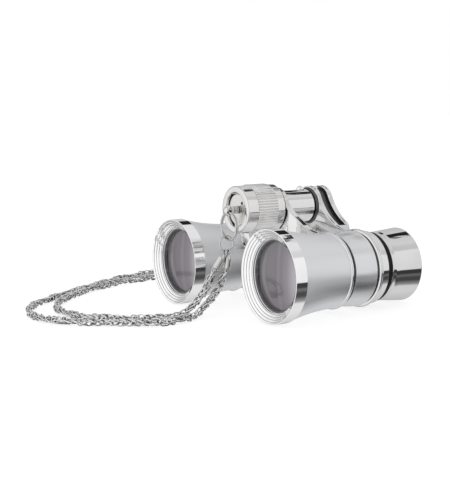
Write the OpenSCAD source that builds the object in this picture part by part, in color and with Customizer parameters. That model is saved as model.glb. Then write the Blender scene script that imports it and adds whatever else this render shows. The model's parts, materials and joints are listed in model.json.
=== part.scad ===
// Galilean opera glasses with a central focusing knob and a hand chain.
// The origin is the centre of the knob's front plug, on the focusing axis.
// +X is the user's left, +Y runs from the objectives to the eyes, +Z is up.

/* [Overall layout] */
// Distance from the focusing axis to each optical axis, sideways
half_ipd = 31.94; // [31.5:0.02:32.5]
// Height of the focusing axis above the optical axes
axis_rise = 21.2; // [21:0.1:21.4]
// Distance from the objective rims back to the knob's plug
rim_to_plug = 9.3; // [9.1:0.1:9.5]
// Travel of the eyepiece half while focusing
focus_travel = 6; // [4:0.5:6]

/* [Objective barrels] */
// Radius of the chrome bezel's front rim
bezel_r = 16.5; // [16.3:0.1:16.7]
// Length of the bezel's outer band
bezel_len = 4.6; // [4.2:0.1:5]
// Radius of the clear opening in the bezel
aperture_r = 12.9; // [12.8:0.1:13]
// Radius of the satin cone where it meets the bezel
cone_front_r = 16.3; // [16.1:0.1:16.3]
// Radius of the satin cone at its narrow end
cone_rear_r = 13.35; // [13.2:0.05:13.5]
// Length of the satin cone
cone_len = 20.9; // [20.5:0.1:21.1]
// Wall thickness of the cone
cone_wall = 0.9; // [0.8:0.05:1]

/* [Eyepiece half] */
// Radius of the sliding draw tube
draw_r = 11.9; // [11.8:0.05:11.9]
// Largest radius of the bulged collar
collar_r = 13.6; // [13.5:0.1:13.8]
// Radius of the raised bead behind the collar
bead_r = 14.2; // [14.1:0.1:14.4]
// Radius of the eyecup's neck
eyecup_neck_r = 12.35; // [12.2:0.05:12.5]
// Radius of the eyecup's rear rim
eyecup_rim_r = 13.5; // [13.4:0.1:13.8]

/* [Focusing knob] */
// Radius of the smooth front cap
cap_r = 8.8; // [8.6:0.1:9]
// Radius over the knurled drum
drum_r = 9.15; // [9.05:0.05:9.3]
// Number of flutes round the drum
flute_count = 56; // [48:2:60]
// Radius of the lead screw
screw_r = 3; // [2.9:0.05:3]
// Radius of the central tube
tube_r = 6.2; // [6.1:0.05:6.3]

/* [Bridges] */
// Radius of the swan neck's rounded top
neck_top_r = 6.4; // [6.3:0.1:6.6]
// Radius of the swan neck's hollow flank
neck_flank_r = 21; // [20:0.5:22]
// Thickness of the front arm
front_arm_t = 2.7; // [2.4:0.1:3]
// Depth of the rear arm over both flanges
rear_arm_t = 7.4; // [7.2:0.1:7.6]

/* [Chain] */
// Radius of each twisted strand
strand_r = 1.6; // [1.5:0.05:1.6]
// Gap between the ends of neighbouring strand lengths
strand_gap = 0.4; // [0.4:0.05:0.6]
// Radius of the tube end cap on a strand
end_cap_r = 1.25; // [1.2:0.05:1.25]
// Mean radius of the split ring
split_ring_r = 5.05; // [5:0.05:5.1]
// Radius of the split ring's wire
split_wire_r = 0.35; // [0.3:0.01:0.35]

/* [Hidden] */
$fn = 64;
eps = 0.01;
// Radial clearance of running fits, and of parts that are fixed to each other
run = 0.05;
seat = 0.02;

// Stations along +Y, from the objective rims at -rim_to_plug
rim_y = -rim_to_plug;
cone_y = rim_y + bezel_len + 0.1;
cone_end_y = cone_y + cone_len;
parting_y = rim_y + 28.5;
bead_y = rim_y + 39;
collar_end_y = rim_y + 43;
neck_y = rim_y + 45.4;
eyecup_end_y = rim_y + 58.6;
lens_seat_r = 12.75;
lens_front_y = rim_y + 5.02;
lens_rear_y = rim_y + 7.1;
cell_seat_r = 11;
eye_lens_seat_r = 9.6;

// Knob stations
cap_front_y = -1.3;
cap_len = 5;
drum_y = cap_front_y + cap_len;
knurl_len = 8.5;
drum_end_y = drum_y + 11.7;
flute_r = 0.34;
spanner_r = 0.65;
spanner_pcd = 7.6;
spanner_deg = -40;
plug_r = 5.9;
plug_t = 2.2;
plug_gap = 0.45;

// Bridge stations
front_arm_y = rim_y + 27.7;
tube_y = drum_end_y + 1.7;
tube_end_y = rim_y + 40.2;
tube_bore_r = 4.9;
rear_arm_y = rim_y + 41.5;
rear_arm_end_y = rear_arm_y + rear_arm_t;
flange_t = 2.1;
pocket_foot_x = 17;
neck_top_z = 1;
arch_z = -40;
arch_r = 30;
sleeve_r = tube_bore_r - run;
sleeve_bore_r = screw_r + 0.4;
nut_y = rim_y + 31.4;
nut_len = 5;
screw_end_y = rim_y + 43.4;
key_y = rim_y + 38;
key_r = 0.7;

// Chain geometry
eye_y = -4.4;
eye_ball_r = 1.8;
eye_ball_z = -0.35;
eye_hole_z = -0.86;
eye_hole_r = 0.9;
post_r = 1.45;
shaft_r = 1.15;
eye_head_r = 2.2;
ring_x = 0.8;
ring_z = -5.8;
jump_x = -1.2;
jump_z = -12.3;
jump_r = 2.9;
jump_wire_r = 0.3;
loop_r = 0.85;
loop_wire_r = 0.27;
loop_a = [jump_x, eye_y - 0.8, -15.3];
loop_b = [jump_x, eye_y + 0.8, -15.3];
strand_sides = 12;

// ---- Shared shapes ----

// A turned part: outline points are [radius, station along +Y].
module turned(outline, sides = 96) {
    rotate([-90, 0, 0]) rotate_extrude($fn = sides) polygon(outline);
}

// A round bar along +Y.
module bar(r, y0, y1) {
    translate([0, y0, 0]) rotate([-90, 0, 0]) cylinder(r = r, h = y1 - y0);
}

// A tube along +Y.
module pipe(r_out, r_in, y0, y1) {
    difference() {
        bar(r_out, y0, y1);
        bar(r_in, y0 - 1, y1 + 1);
    }
}

// Moves a part from the focusing axis to one optical axis. Side is 1 for left and -1 for right.
module optical(side) {
    translate([side * half_ipd, 0, -axis_rise]) children();
}

// Points of an arc in an outline, from angle a0 to a1 about [cx, cy].
function arc(cx, cy, r, a0, a1, steps) =
    [for (i = [0 : steps]) let (a = a0 + (a1 - a0) * i / steps) [cx + r * cos(a), cy + r * sin(a)]];

// ---- Objective half of each barrel ----

// Radius of the trumpet-shaped cone at a distance t from its front end.
function cone_radius(t) = cone_rear_r + (cone_front_r - cone_rear_r) * pow(1 - t / cone_len, 1.9);

module cone(side) {
    steps = 12;
    stations = [for (i = [0 : steps]) cone_len * i / steps];
    outside = [for (t = stations) [cone_radius(t), cone_y + t]];
    inside = [for (i = [steps : -1 : 0])
        [cone_radius(stations[i]) - cone_wall, cone_y + stations[i]]];
    color("lightgray") optical(side) turned(concat(outside, inside));
}

module objective_bezel(side) {
    groove_w = 0.28;
    groove_d = 0.3;
    face_slope = 2.5 / (bezel_r - 0.5 - aperture_r);
    spigot_r = cone_radius(3.6) - cone_wall - 0.1;
    color("silver") optical(side) difference() {
        turned([
            [aperture_r, rim_y + 2.5], [bezel_r - 0.5, rim_y], [bezel_r - 0.15, rim_y],
            [bezel_r, rim_y + 0.15], [bezel_r, rim_y + bezel_len],
            [spigot_r, rim_y + bezel_len], [spigot_r, rim_y + 8.2],
            [lens_seat_r - 0.95, rim_y + 8.2], [lens_seat_r - 0.95, lens_rear_y],
            [lens_seat_r, lens_rear_y], [lens_seat_r, rim_y + 3.2], [aperture_r, rim_y + 3.2]
        ]);
        for (k = [0 : 3]) {
            r = aperture_r + 0.75 + 0.75 * k;
            y = rim_y + (bezel_r - 0.5 - r) * face_slope;
            pipe(r + groove_w, r, y - 1, y + groove_d);
        }
    }
}

module lens_retainer(side) {
    color("dimgray") optical(side)
        pipe(lens_seat_r - seat, lens_seat_r - 0.75, rim_y + 3.3, lens_front_y - seat);
}

// A lens with domed faces inside a flat edge: sag_front bulges towards -Y, sag_rear towards +Y.
module lens(r, clear_r, y0, y1, sag_front, sag_rear) {
    steps = 6;
    front = [for (i = [0 : steps]) let (u = i / steps) [clear_r * u, y0 - sag_front * (1 - u * u)]];
    rear = [for (i = [steps : -1 : 0]) let (u = i / steps) [clear_r * u, y1 + sag_rear * (1 - u * u)]];
    turned(concat(front, [[r, y0], [r, y1]], rear));
}

module objective_lens(side) {
    color("thistle") optical(side)
        lens(lens_seat_r - seat, lens_seat_r - 1, lens_front_y, lens_rear_y - seat, 1.3, 0.8);
}

module draw_tube(side) {
    color("gainsboro") optical(side) pipe(draw_r, draw_r - 0.7, cone_end_y - 2, rim_y + 40);
}

// ---- Bridges ----

// Centre of the hollow flank's circle, for a swan neck with rounded top radius neck_top_r about
// [0, neck_top_z] and foot radius foot_r about the barrel's axis.
function flank_centre(foot_r) =
    let (dx = half_ipd, dz = -axis_rise - neck_top_z, d = norm([dx, dz]),
         p = neck_top_r + neck_flank_r, q = foot_r + neck_flank_r,
         along = (p * p - q * q + d * d) / (2 * d), off = sqrt(p * p - along * along))
    [along * dx / d - off * dz / d, neck_top_z + along * dz / d + off * dx / d];

// The swan neck's edge from the middle of its top down the +X side, set in by a depth, as far
// as the flank's angle end_a.
function neck_edge(foot_r, depth, end_a) =
    let (c = flank_centre(foot_r), join_a = atan2(c[1] - neck_top_z, c[0]))
    concat(arc(0, neck_top_z, neck_top_r - depth, 90, join_a, 16),
        arc(c[0], c[1], neck_flank_r + depth, join_a + 182, end_a, 20));

// Adds the mirror image of a right-hand edge, so that the outline runs from -X to +X.
function both_sides(edge) =
    concat([for (i = [len(edge) - 1 : -1 : 1]) [-edge[i][0], edge[i][1]]], edge);

// Outline of a bridge arm, drawn with its Z along the sheet's +Y.
module arm_outline(foot_r) {
    c = flank_centre(foot_r);
    foot_a = 360 + atan2(-axis_rise - c[1], half_ipd - c[0]);
    arch_a = asin((-axis_rise - arch_z) / arch_r);
    polygon(concat(both_sides(neck_edge(foot_r, 0, foot_a)), [[half_ipd, -axis_rise]],
        arc(0, arch_z, arch_r, arch_a, 180 - arch_a, 32), [[-half_ipd, -axis_rise]]));
}

// A plate with the arm's outline, from station y0 to y1.
module arm_plate(foot_r, y0, y1) {
    translate([0, y1, 0]) rotate([90, 0, 0]) linear_extrude(height = y1 - y0) arm_outline(foot_r);
}

// The front arm stands close behind the drum at the hub and further back on the barrels.
module front_arm(hub_y) {
    hub_w = 6;
    barrel_w = 13;
    intersection() {
        arm_plate(cone_rear_r, hub_y, front_arm_y + front_arm_t);
        translate([0, 0, -50]) linear_extrude(height = 100) polygon([
            [-50, front_arm_y], [-barrel_w, front_arm_y], [-hub_w, hub_y],
            [hub_w, hub_y], [barrel_w, front_arm_y], [50, front_arm_y],
            [50, front_arm_y + front_arm_t], [barrel_w, front_arm_y + front_arm_t],
            [hub_w, hub_y + front_arm_t], [-hub_w, hub_y + front_arm_t],
            [-barrel_w, front_arm_y + front_arm_t], [-50, front_arm_y + front_arm_t]
        ]);
    }
}

module front_bridge() {
    sleeve_len = parting_y - 0.2 - cone_end_y;
    color("silver") difference() {
        union() {
            front_arm(drum_end_y + 0.5);
            for (side = [-1, 1]) optical(side) {
                bar(cone_rear_r - 0.05, cone_end_y, cone_end_y + sleeve_len);
                bar(cone_rear_r - cone_wall - seat, cone_end_y - 3, cone_end_y + eps);
            }
        }
        bar(screw_r + run, 0, front_arm_y + 5);
        bar(tube_r + seat, tube_y, front_arm_y + 5);
        for (side = [-1, 1]) optical(side) {
            bar(draw_r + seat, cone_end_y - 4, parting_y + 5);
            bar(collar_r + 0.6, parting_y - 0.2, parting_y + 5);
        }
    }
}

module center_tube() {
    color("gainsboro") difference() {
        bar(tube_r, tube_y, tube_end_y);
        bar(tube_bore_r, tube_y - 1, tube_end_y + 1);
        translate([0, key_y, tube_bore_r - 1]) cylinder(r = key_r + seat, h = 4, $fn = 32);
    }
}

// Dome-headed screw with its head's seat at height z above the focusing axis.
module dome_screw(y, z, shank_depth, head_r, head_h) {
    ball_r = (head_r * head_r + head_h * head_h) / (2 * head_h);
    translate([0, y, z]) {
        translate([0, 0, -shank_depth]) cylinder(r = key_r, h = shank_depth + eps, $fn = 32);
        intersection() {
            translate([0, 0, head_h - ball_r]) sphere(r = ball_r);
            cylinder(r = head_r, h = head_h);
        }
    }
}

module guide_screw() {
    color("silver") dome_screw(key_y, tube_r + 0.02, tube_r - tube_bore_r + 0.7, 1.5, 1.4);
}

module rear_bridge() {
    pocket_y = rear_arm_y + flange_t;
    pocket_end_y = rear_arm_end_y - flange_t;
    plan_w = 24;
    color("silver") difference() {
        union() {
            intersection() {
                arm_plate(collar_r, rear_arm_y, rear_arm_end_y);
                translate([0, 0, -50]) linear_extrude(height = 100) polygon([
                    [-50, 0], [50, 0], [50, collar_end_y], [plan_w, collar_end_y],
                    [plan_w - 3.5, collar_end_y + 2.8], [plan_w - 9, rear_arm_end_y],
                    [9 - plan_w, rear_arm_end_y], [3.5 - plan_w, collar_end_y + 2.8],
                    [-plan_w, collar_end_y], [-50, collar_end_y]
                ]);
            }
            bar(tube_r, tube_end_y + 0.6, rear_arm_y + eps);
            for (side = [-1, 1]) optical(side) collar();
        }
        swan_pocket(pocket_y, pocket_end_y);
        bar(sleeve_r + seat, tube_end_y - 1, rear_arm_end_y - 1.2);
        bar(3, rear_arm_end_y - 2, rear_arm_end_y + 1);
        translate([0, (pocket_y + pocket_end_y) / 2, 0]) cylinder(r = key_r + seat, h = 8, $fn = 32);
        for (side = [-1, 1]) optical(side) {
            bar(draw_r + run, parting_y - 1, collar_end_y + 5);
            bar(eyecup_rim_r + 0.2, collar_end_y, rear_arm_end_y + 1);
        }
    }
}

// The dark channel between the two flanges, which follows the neck's edge at a lower level.
module swan_pocket(y0, y1) {
    depth = 1.1;
    c = flank_centre(collar_r);
    end_a = 360 - acos((pocket_foot_x - c[0]) / (neck_flank_r + depth));
    translate([0, y1, 0]) rotate([90, 0, 0]) linear_extrude(height = y1 - y0)
        polygon(concat(both_sides(neck_edge(collar_r, depth, end_a)),
            [[pocket_foot_x, 20], [-pocket_foot_x, 20]]));
}

// Turned collar that slides on the draw tube: a bulged band, a bead and a tapered ring.
module collar() {
    band_len = bead_y - 1.5 - parting_y;
    bulge = collar_r - 12.8;
    band = [for (i = [0 : 8]) [12.8 + bulge * sin(90 * i / 8), parting_y + band_len * i / 8]];
    bead = arc(bead_r - 0.7, bead_y, 0.7, -70, 80, 6);
    turned(concat([[draw_r - 1, parting_y]], band, bead,
        [[13.8, bead_y + 1], [13.3, collar_end_y], [draw_r - 1, collar_end_y]]));
}

module guide_sleeve() {
    slot_y = key_y - focus_travel - key_r - run;
    color("darkgray") difference() {
        bar(sleeve_r, nut_y - 0.2, rear_arm_end_y - 1.3);
        bar(screw_r + run, nut_y - 1, nut_y + nut_len);
        bar(sleeve_bore_r, nut_y + nut_len - eps, rear_arm_end_y);
        translate([-key_r - run, slot_y, tube_bore_r - 0.85])
            cube([2 * (key_r + run), key_y + 2 * key_r - slot_y, 2]);
    }
}

module clamp_screw() {
    pocket_mid_y = rear_arm_y + rear_arm_t / 2;
    seat_z = neck_top_z + neck_top_r - 1.1;
    color("silver") dome_screw(pocket_mid_y, seat_z + 0.02, seat_z - sleeve_r - 0.02, 1.1, 0.9);
}

module hub_cover() {
    cover_r = 5;
    color("silver") union() {
        translate([0, rear_arm_end_y + 0.02, 0]) rotate([-90, 0, 0])
            intersection() {
                translate([0, 0, -7.5]) sphere(r = sqrt(7.5 * 7.5 + cover_r * cover_r), $fn = 96);
                cylinder(r = cover_r, h = 4);
            }
        bar(3 - seat, rear_arm_end_y - 1.2, rear_arm_end_y + 0.1);
    }
}

module tube_gap_ring() {
    color("black") pipe(tube_r - 0.4, sleeve_r + run, tube_end_y + 0.05, tube_end_y + 0.55);
}

// ---- Knob ----

module knob_washer() {
    color("black") pipe(8.4, screw_r + run, drum_end_y + 0.02, drum_end_y + 0.48);
}

module lead_screw() {
    thread_pitch = 1.5;
    thread_count = 11;
    color("darkgray") difference() {
        bar(screw_r, plug_t + 0.05, screw_end_y);
        for (k = [0 : thread_count - 1])
            pipe(screw_r + 1, screw_r - 0.35, front_arm_y + 4 + thread_pitch * k,
                front_arm_y + 4.5 + thread_pitch * k);
    }
}

module focus_drum() {
    flange_r = drum_r - 0.3;
    color("gainsboro") difference() {
        turned([
            [screw_r + seat, drum_y + 0.02], [drum_r, drum_y + 0.02], [drum_r, drum_y + knurl_len],
            [flange_r, drum_y + knurl_len + 0.05], [flange_r, drum_end_y], [screw_r + seat, drum_end_y]
        ]);
        for (k = [0 : flute_count - 1]) rotate([0, 360 * k / flute_count, 0])
            translate([0, 0, drum_r + 0.1]) bar(flute_r, drum_y - 1, drum_y + knurl_len + 0.5);
    }
}

module knob_cap() {
    floor_y = plug_t + 0.02;
    edge_r = 0.6;
    color("silver") turned(concat(
        [[plug_r + plug_gap, cap_front_y + 0.2], [plug_r + plug_gap + 0.2, cap_front_y]],
        arc(cap_r - edge_r, cap_front_y + edge_r, edge_r, -90, 0, 5),
        [[cap_r, drum_y], [screw_r + seat, drum_y], [screw_r + seat, floor_y],
         [plug_r + plug_gap, floor_y]]));
}

module knob_plug() {
    color("gainsboro") difference() {
        bar(plug_r, 0, plug_t);
        bar(shaft_r + run, -1, plug_t + 1);
        bar(eye_head_r, plug_t - 1.2, plug_t + 1);
        for (s = [0, 180]) rotate([0, s + spanner_deg, 0])
            translate([spanner_pcd / 2, 0, 0]) bar(spanner_r, -1, plug_t + 1);
    }
}

// ---- Eyepiece half of each barrel ----

module gap_ring(side) {
    color("black") optical(side) pipe(12.7, draw_r + 0.1, collar_end_y + 0.05, neck_y - 0.05);
}

module eyecup(side) {
    steps = 6;
    fillet = [for (i = [0 : steps]) let (u = i / steps)
        [eyecup_neck_r + 0.35 * (1 - u) * (1 - u), neck_y + 1.6 * u]];
    color("silver") optical(side) turned(concat(
        [[draw_r - 0.9, rim_y + 41.2], [draw_r, rim_y + 41.2], [draw_r, neck_y]],
        fillet,
        [[eyecup_rim_r - 0.05, eyecup_end_y - 0.8]],
        arc(eyecup_rim_r - 0.6, eyecup_end_y - 0.55, 0.55, 0, 90, 5),
        [[11.7, eyecup_end_y], [11.2, eyecup_end_y - 0.5], [cell_seat_r, eyecup_end_y - 6],
         [cell_seat_r, rim_y + 41.2]]));
}

module ocular_cell(side) {
    stop_r = 8.3;
    stop_y = rim_y + 51.8;
    color("black") optical(side) turned([
        [cell_seat_r - seat, rim_y + 46], [cell_seat_r - seat, eyecup_end_y - 6.1],
        [10.4, eyecup_end_y - 1.2], [10, eyecup_end_y - 1.2],
        [stop_r, stop_y + 0.8], [stop_r, stop_y],
        [eye_lens_seat_r, stop_y], [eye_lens_seat_r, rim_y + 46]
    ]);
}

module eye_lens(side) {
    color("thistle") optical(side)
        lens(eye_lens_seat_r - seat, 8.2, rim_y + 48.4, rim_y + 51.7, -0.9, -1.1);
}

module eye_lens_retainer(side) {
    color("dimgray") optical(side) pipe(eye_lens_seat_r - seat, 8.5, rim_y + 46.6, rim_y + 48.3);
}

// ---- Hand chain ----

module swivel_eye() {
    eye_half_w = 1;
    color("silver") difference() {
        union() {
            bar(shaft_r, -0.5, plug_t - 0.2);
            bar(eye_head_r - run, plug_t - 1.1, plug_t - 0.1);
            bar(post_r, eye_y + 1, -run);
            intersection() {
                translate([0, eye_y, eye_ball_z]) sphere(r = eye_ball_r);
                translate([-eye_half_w, eye_y - 3, -3]) cube([2 * eye_half_w, 6, 6]);
            }
        }
        translate([-5, eye_y, eye_hole_z]) rotate([0, 90, 0]) cylinder(r = eye_hole_r, h = 10);
    }
}

// A wire ring about the Y axis.
module wire_ring(r, wire_r, wire_sides = 24) {
    rotate([90, 0, 0]) rotate_extrude($fn = 72) translate([r, 0]) circle(r = wire_r, $fn = wire_sides);
}

module split_ring() {
    color("silver") for (s = [-1, 1])
        translate([ring_x, eye_y + s * (split_wire_r - eps), ring_z])
            wire_ring(split_ring_r, split_wire_r);
}

module jump_ring() {
    color("silver") translate([jump_x, eye_y, jump_z]) rotate([0, 0, 90])
        wire_ring(jump_r, jump_wire_r);
}

// Places a part drawn along +Z from the origin so that it runs from a towards b.
module aim(a, b) {
    d = b - a;
    translate(a) rotate([0, acos(d[2] / norm(d)), atan2(d[1], d[0])]) children();
}

module chain_cap(eyelet, tip) {
    neck_start = loop_r - 0.1;
    shoulder = 2.3;
    cap_end = norm(tip - eyelet);
    color("silver") union() {
        translate(eyelet) wire_ring(loop_r, loop_wire_r, 16);
        aim(eyelet, tip) rotate_extrude($fn = 48) polygon([
            [0, neck_start], [0.5, neck_start], [0.65, neck_start + 0.5],
            [end_cap_r, shoulder], [end_cap_r, cap_end - 0.5], [end_cap_r - 0.35, cap_end],
            [0, cap_end]
        ]);
    }
}

// Height of a strand's centre line when it lies on the table, which passes under the
// bezels and the eyecups and so falls towards the front.
function table_z(y) = -36.2 + 0.0556 * (y + 4.7);
function lying(x, y) = [x, y, table_z(y)];

// Guide points of the inner strand, from its end cap down to the table and round the tip.
path_a = [
    [-2.6, -8.6, -21.3], [-3.2, -12.5, -28.2], [-3.8, -16.8, -33.5], lying(-4.4, -21.8),
    lying(-4.5, -27.3), lying(-9, -34.8), lying(-17.8, -40.6), lying(-34, -48.3),
    lying(-53, -48.3), lying(-68, -41.9), lying(-80, -30.8), lying(-88.3, -18.8),
    lying(-93, -5.8), lying(-94.8, 4.3), lying(-93.8, 14), lying(-93.4, 21.5)
];
// Guide points of the outer strand, which also makes the turn at the far end of the loop.
path_b = [
    [-2.5, -3.7, -21.5], [-2, -6.5, -26.5], [-0.5, -11.3, -31.5], [0.6, -15.5, -34.4],
    lying(1.4, -20.5), lying(3, -27.5), lying(1, -35.3), lying(-8, -42.3),
    lying(-25.6, -54.6), lying(-39.6, -59.5), lying(-52, -59.8), lying(-64.8, -55.9),
    lying(-76, -47.3), lying(-85, -32.2), lying(-93.5, -16.3), lying(-100.4, -1.7),
    lying(-104.5, 9.7), lying(-104, 21.2), lying(-99.5, 29.2), lying(-95, 28.8), lying(-93.5, 24)
];

// A point of the smooth curve through the guide points, at u = 0 ... len - 1.
function clamped(p, i) = p[max(0, min(len(p) - 1, i))];
function on_curve(p, u) =
    let (i = min(floor(u), len(p) - 2), t = u - i,
         a = clamped(p, i - 1), b = p[i], c = p[i + 1], d = clamped(p, i + 2))
    0.5 * (2 * b + (c - a) * t + (2 * a - 5 * b + 4 * c - d) * t * t
        + (3 * b - a - 3 * c + d) * t * t * t);

// A length of strand between guide points i0 and i1, with domed ends that stop half a gap short.
module strand(p, i0, i1) {
    samples = 4 * (i1 - i0);
    spine = [for (k = [0 : samples]) on_curve(p, i0 + (i1 - i0) * k / samples)];
    last = len(spine) - 1;
    dir0 = (spine[1] - spine[0]) / norm(spine[1] - spine[0]);
    dir1 = (spine[last - 1] - spine[last]) / norm(spine[last - 1] - spine[last]);
    dome = [for (a = [10, 35, 62, 90]) [strand_r * sin(a), strand_gap / 2 + strand_r * (1 - cos(a))]];
    head = [for (q = dome) [spine[0] + dir0 * q[1], q[0]]];
    tail = [for (i = [3 : -1 : 0]) [spine[last] + dir1 * dome[i][1], dome[i][0]]];
    middle = [for (k = [1 : last - 1])
        if (norm(spine[k] - spine[0]) > strand_r + 0.8 && norm(spine[k] - spine[last]) > strand_r + 0.8)
            [spine[k], strand_r]];
    tube(concat(head, middle, tail));
}

// A closed skin round a list of [centre, radius] stations.
module tube(stations) {
    n = strand_sides;
    m = len(stations);
    points = [for (k = [0 : m - 1])
        let (before = stations[max(0, k - 1)][0], after = stations[min(m - 1, k + 1)][0],
             t = (after - before) / norm(after - before),
             side = cross(t, [0.05, 0, 1]), u = side / norm(side), v = cross(u, t))
        for (j = [0 : n - 1]) let (a = 360 * j / n)
            stations[k][0] + stations[k][1] * (cos(a) * u + sin(a) * v)];
    walls = [for (k = [0 : m - 2], j = [0 : n - 1])
        let (a = k * n + j, b = k * n + (j + 1) % n) each [[a, b, b + n], [a, b + n, a + n]]];
    start = [[for (j = [n - 1 : -1 : 0]) j]];
    end = [[for (j = [0 : n - 1]) (m - 1) * n + j]];
    color("lightgray") polyhedron(points, concat(walls, start, end));
}

// ---- Nodes ----

front_bridge();
cone(1);  // cone_left
cone(-1);  // cone_right
objective_bezel(1);  // objective_bezel_left
objective_bezel(-1);  // objective_bezel_right
objective_lens(1);  // objective_lens_left
objective_lens(-1);  // objective_lens_right
lens_retainer(1);  // lens_retainer_left
lens_retainer(-1);  // lens_retainer_right
draw_tube(1);  // draw_tube_left
draw_tube(-1);  // draw_tube_right
center_tube();
guide_screw();
knob_washer();
lead_screw();
focus_drum();
knob_cap();
knob_plug();
rear_bridge();
tube_gap_ring();
guide_sleeve();
clamp_screw();
hub_cover();
eyecup(1);  // eyecup_left
eyecup(-1);  // eyecup_right
gap_ring(1);  // gap_ring_left
gap_ring(-1);  // gap_ring_right
ocular_cell(1);  // ocular_cell_left
ocular_cell(-1);  // ocular_cell_right
eye_lens(1);  // eye_lens_left
eye_lens(-1);  // eye_lens_right
eye_lens_retainer(1);  // eye_lens_retainer_left
eye_lens_retainer(-1);  // eye_lens_retainer_right
swivel_eye();
split_ring();
jump_ring();
chain_cap(loop_a, path_a[0]);  // chain_cap_a
chain_cap(loop_b, path_b[0]);  // chain_cap_b
strand(path_a, 0, 4);  // strand_a_1
strand(path_a, 4, 7);  // strand_a_2
strand(path_a, 7, 11);  // strand_a_3
strand(path_a, 11, 15);  // strand_a_4
strand(path_b, 0, 4);  // strand_b_1
strand(path_b, 4, 8);  // strand_b_2
strand(path_b, 8, 12);  // strand_b_3
strand(path_b, 12, 16);  // strand_b_4
strand(path_b, 16, 20);  // strand_b_5
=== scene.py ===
import json
import math
import random

import bmesh
import bpy
from mathutils import Matrix, Quaternion, Vector


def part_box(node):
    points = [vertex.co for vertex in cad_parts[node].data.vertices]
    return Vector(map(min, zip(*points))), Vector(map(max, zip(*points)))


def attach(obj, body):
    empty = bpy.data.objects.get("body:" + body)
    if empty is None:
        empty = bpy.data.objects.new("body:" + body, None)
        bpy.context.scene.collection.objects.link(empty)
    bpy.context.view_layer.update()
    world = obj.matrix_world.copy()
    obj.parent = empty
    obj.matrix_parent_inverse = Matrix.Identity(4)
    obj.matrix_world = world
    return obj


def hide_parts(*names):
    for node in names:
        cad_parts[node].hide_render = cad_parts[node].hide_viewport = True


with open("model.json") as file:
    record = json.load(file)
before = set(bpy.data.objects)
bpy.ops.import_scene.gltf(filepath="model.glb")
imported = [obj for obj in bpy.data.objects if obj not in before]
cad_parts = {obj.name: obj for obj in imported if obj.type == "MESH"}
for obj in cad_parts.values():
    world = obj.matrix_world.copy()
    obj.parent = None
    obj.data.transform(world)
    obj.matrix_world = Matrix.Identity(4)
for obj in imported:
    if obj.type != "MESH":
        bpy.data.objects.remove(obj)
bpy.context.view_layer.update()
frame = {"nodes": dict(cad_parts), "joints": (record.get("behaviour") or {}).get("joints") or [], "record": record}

# The looks of the opera glasses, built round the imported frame. Lengths are millimetres until a
# mesh is made. Y runs along the optical axes, from the objectives to the eyes.
MM = 0.001
# Outlines keep this far off their own axis, so that no faces collapse there.
AXIS = 0.001
record = frame["record"]
BODY_OF = {n: b for b, nodes in record["behaviour"]["bodies"].items() for n in nodes}
ANCHOR = {j["name"]: Vector(j["pos_m"]) / MM for j in frame["joints"] if "pos_m" in j}
SIDES = {"left": 1, "right": -1}


def span(node):
    """Lowest and highest corner of a CAD node."""
    low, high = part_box(node)
    return low / MM, high / MM


def radius_of(node):
    """Largest radius of a turned CAD node whose axis runs along Y."""
    low, high = span(node)
    return (high.x - low.x) / 2


# ---- Places taken from the frame ----

bezel_low, bezel_high = span("objective_bezel_left")
OPTIC_X = (bezel_low.x + bezel_high.x) / 2
OPTIC_Z = (bezel_low.z + bezel_high.z) / 2
RIM_Y = bezel_low.y
BEZEL_R = radius_of("objective_bezel_left")
cone_low, cone_high = span("cone_left")
cap_low, cap_high = span("knob_cap")
drum_low, drum_high = span("focus_drum")
tube_low, tube_high = span("center_tube")
eyecup_low, eyecup_high = span("eyecup_left")
bridge_low, bridge_high = span("rear_bridge")
plug_high = span("knob_plug")[1]
gap_high = span("gap_ring_left")[1]
eye_high = span("swivel_eye")[1]

# Dimensions of the swan necks, which follow the same rule in the CAD model.
NECK_TOP_Z = 1.0
NECK_TOP_R = bridge_high.z - NECK_TOP_Z
NECK_FLANK_R = 21.0
ARCH_Z = -40.0
ARCH_R = 30.0
CONE_REAR_R = 13.35
COLLAR_R = 13.6
BEAD_R = bridge_high.x - OPTIC_X
# Width of the rim beside the rear arm's pocket, as a share of the arm's width.
POCKET_RAIL = 0.284
TUBE_R = tube_high.x
TUBE_BORE_R = 4.9
SCREW_R = 3.0
# The part of a lens from its middle over which its bands are spread.
GLASS_R = 12.0
# The first spanner hole's angle above +X, in degrees. The second is opposite.
SPANNER_DEG = 40
# The objective's edge is shown this much further forward than in the CAD model.
LENS_FORWARD = 0.5
# The glasses lie on bezels and eyecups of different radius, so the floor under them slopes.
FLOOR_SLOPE = 0.0556
FLOOR_Z = OPTIC_Z - BEZEL_R - 0.1


# ---- Materials ----

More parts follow.
